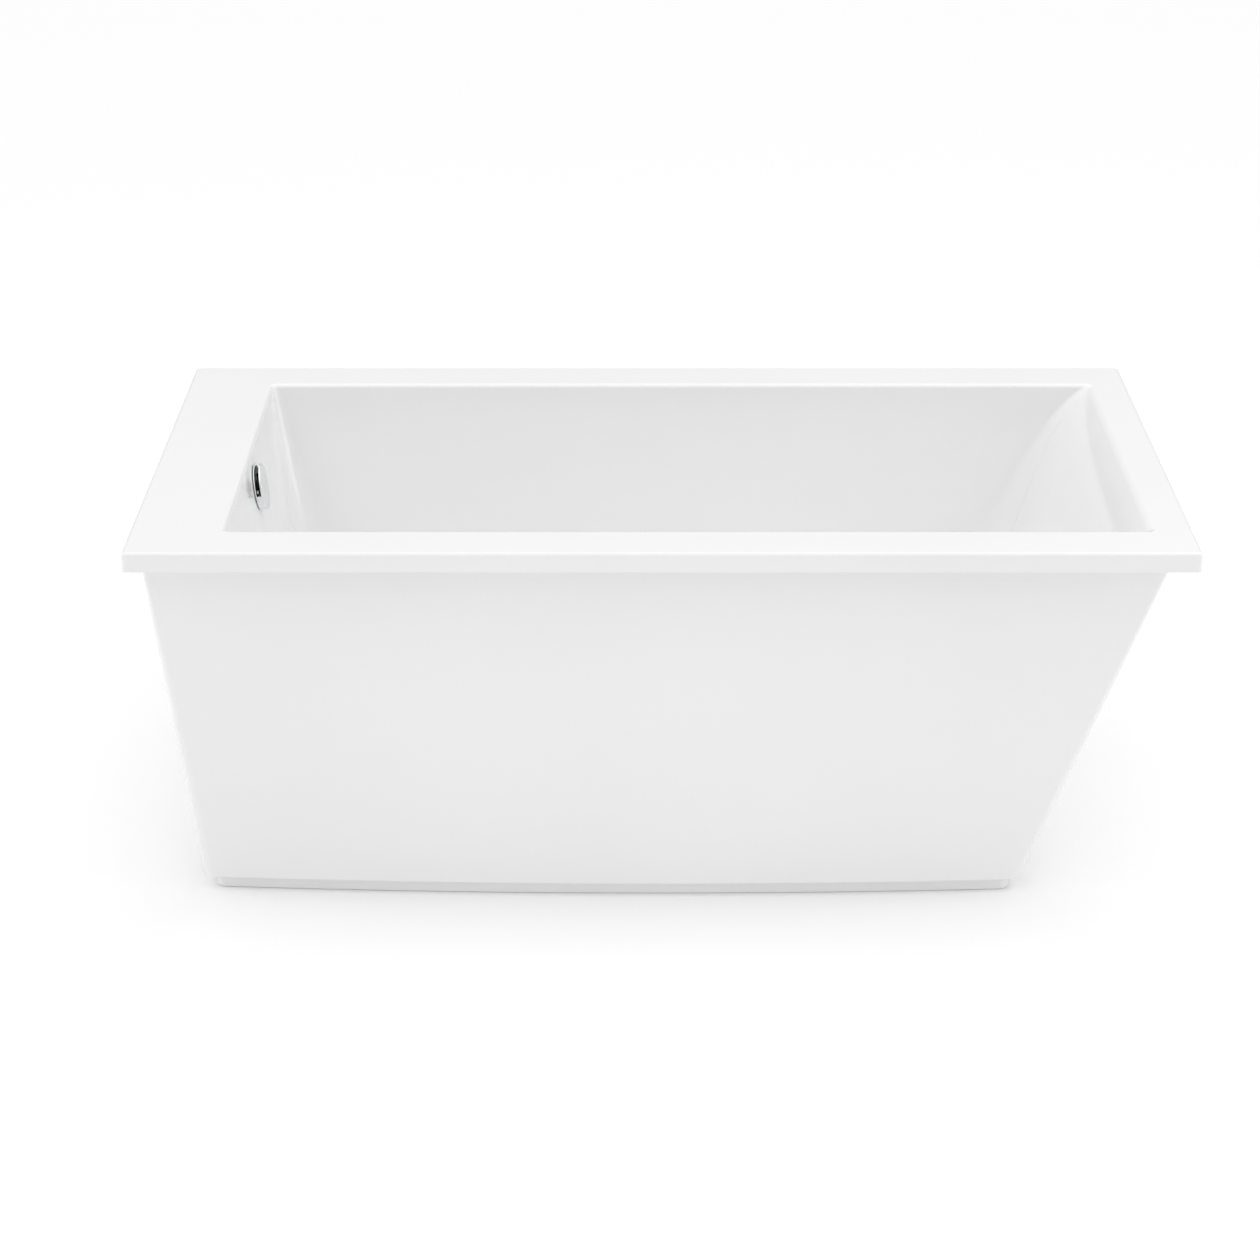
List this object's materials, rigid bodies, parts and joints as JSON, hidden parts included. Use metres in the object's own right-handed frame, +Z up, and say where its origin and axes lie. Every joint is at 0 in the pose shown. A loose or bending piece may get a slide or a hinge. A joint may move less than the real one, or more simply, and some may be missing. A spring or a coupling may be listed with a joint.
{
  "type": "freestanding bathtub",
  "caption": "Rectangular freestanding bathtub with a wide flat deck, sloped backrest, tapered bowed skirt, recessed plinth and chrome overflow.",
  "frame": {"origin": "on the floor under the middle of the deck", "axes": "+X towards the backrest end, +Y towards the back, +Z up"},
  "size_m": [1.676, 0.914, 0.622],
  "materials": {
    "acrylic": "gloss",
    "adhesive": "matt",
    "plywood": "raw plywood",
    "timber": "planed softwood",
    "steel_frame": "powder coat",
    "zinc_steel": "zinc plated",
    "black_plastic": "matt",
    "rubber": "matt",
    "chrome": "polished",
    "brass": "machined",
    "white_pipe": "moulded"
  },
  "bodies": {
    "tub": {"tub_shell": "acrylic", "apron": "acrylic", "plinth": "acrylic", "rim_stiffener_left": "plywood", "rim_stiffener_right": "plywood", "rim_stiffener_front": "plywood", "rim_stiffener_back": "plywood", "bond_bead": "adhesive", "floor_board": "plywood", "base_rail_front": "steel_frame", "base_rail_back": "steel_frame", "rail_caps": "black_plastic", "foot_locknuts": "zinc_steel", "foot_weld_nuts": "zinc_steel", "skirt_brackets": "zinc_steel", "skirt_screws": "zinc_steel", "overflow_cover": "chrome", "overflow_set_screw": "zinc_steel", "overflow_retainer": "black_plastic", "overflow_screws": "zinc_steel", "overflow_washer": "rubber", "overflow_gasket": "rubber", "overflow_elbow": "white_pipe", "overflow_tube": "white_pipe", "lower_elbow": "white_pipe", "link_tube": "white_pipe", "slip_washers": "rubber", "drain_flange": "chrome", "latch_post": "brass", "stopper_spring": "zinc_steel", "shoe_gasket": "rubber", "waste_shoe": "white_pipe", "tailpiece": "white_pipe", "cross_member_left": "steel_frame", "bearer_left": "timber", "cross_member_middle": "steel_frame", "bearer_middle": "timber", "cross_member_right": "steel_frame", "bearer_right": "timber", "slip_nut_upper": "white_pipe", "slip_nut_elbow_top": "white_pipe", "slip_nut_elbow_side": "white_pipe", "slip_nut_shoe_side": "white_pipe", "slip_nut_tailpiece": "white_pipe"},
    "stopper": {"stopper_cap": "chrome", "stopper_seal": "rubber", "stopper_sleeve": "brass"},
    "pad_front_left": {"foot_pad_front_left": "rubber"},
    "stem_front_left": {"foot_stem_front_left": "zinc_steel"},
    "pad_front_right": {"foot_pad_front_right": "rubber"},
    "stem_front_right": {"foot_stem_front_right": "zinc_steel"},
    "pad_back_left": {"foot_pad_back_left": "rubber"},
    "stem_back_left": {"foot_stem_back_left": "zinc_steel"},
    "pad_back_right": {"foot_pad_back_right": "rubber"},
    "stem_back_right": {"foot_stem_back_right": "zinc_steel"}
  },
  "joints": [
    {"name": "stopper_slide", "type": "slide", "parent": "tub", "child": "stopper", "axis": [0, 0, 1], "range_m": [0, 0.009], "deforming": ["stopper_spring"]},
    {"name": "foot_front_left_slide", "type": "slide", "parent": "tub", "child": "pad_front_left", "axis": [0, 0, -1], "range_m": [0, 0.012]},
    {"name": "foot_front_left_turn", "type": "hinge", "parent": "pad_front_left", "child": "stem_front_left", "pos_m": [-0.6424, -0.28, 0.05], "axis": [0, 0, -1], "range_deg": [0, 2468.57]},
    {"name": "foot_front_right_slide", "type": "slide", "parent": "tub", "child": "pad_front_right", "axis": [0, 0, -1], "range_m": [0, 0.012]},
    {"name": "foot_front_right_turn", "type": "hinge", "parent": "pad_front_right", "child": "stem_front_right", "pos_m": [0.485, -0.28, 0.05], "axis": [0, 0, -1], "range_deg": [0, 2468.57]},
    {"name": "foot_back_left_slide", "type": "slide", "parent": "tub", "child": "pad_back_left", "axis": [0, 0, -1], "range_m": [0, 0.012]},
    {"name": "foot_back_left_turn", "type": "hinge", "parent": "pad_back_left", "child": "stem_back_left", "pos_m": [-0.6424, 0.28, 0.05], "axis": [0, 0, -1], "range_deg": [0, 2468.57]},
    {"name": "foot_back_right_slide", "type": "slide", "parent": "tub", "child": "pad_back_right", "axis": [0, 0, -1], "range_m": [0, 0.012]},
    {"name": "foot_back_right_turn", "type": "hinge", "parent": "pad_back_right", "child": "stem_back_right", "pos_m": [0.485, 0.28, 0.05], "axis": [0, 0, -1], "range_deg": [0, 2468.57]}
  ],
  "couplings": [
    {"joint": "foot_front_left_turn", "follows": "foot_front_left_slide", "rad_per_m": 3590.4},
    {"joint": "foot_front_right_turn", "follows": "foot_front_right_slide", "rad_per_m": 3590.4},
    {"joint": "foot_back_left_turn", "follows": "foot_back_left_slide", "rad_per_m": 3590.4},
    {"joint": "foot_back_right_turn", "follows": "foot_back_right_slide", "rad_per_m": 3590.4}
  ]
}
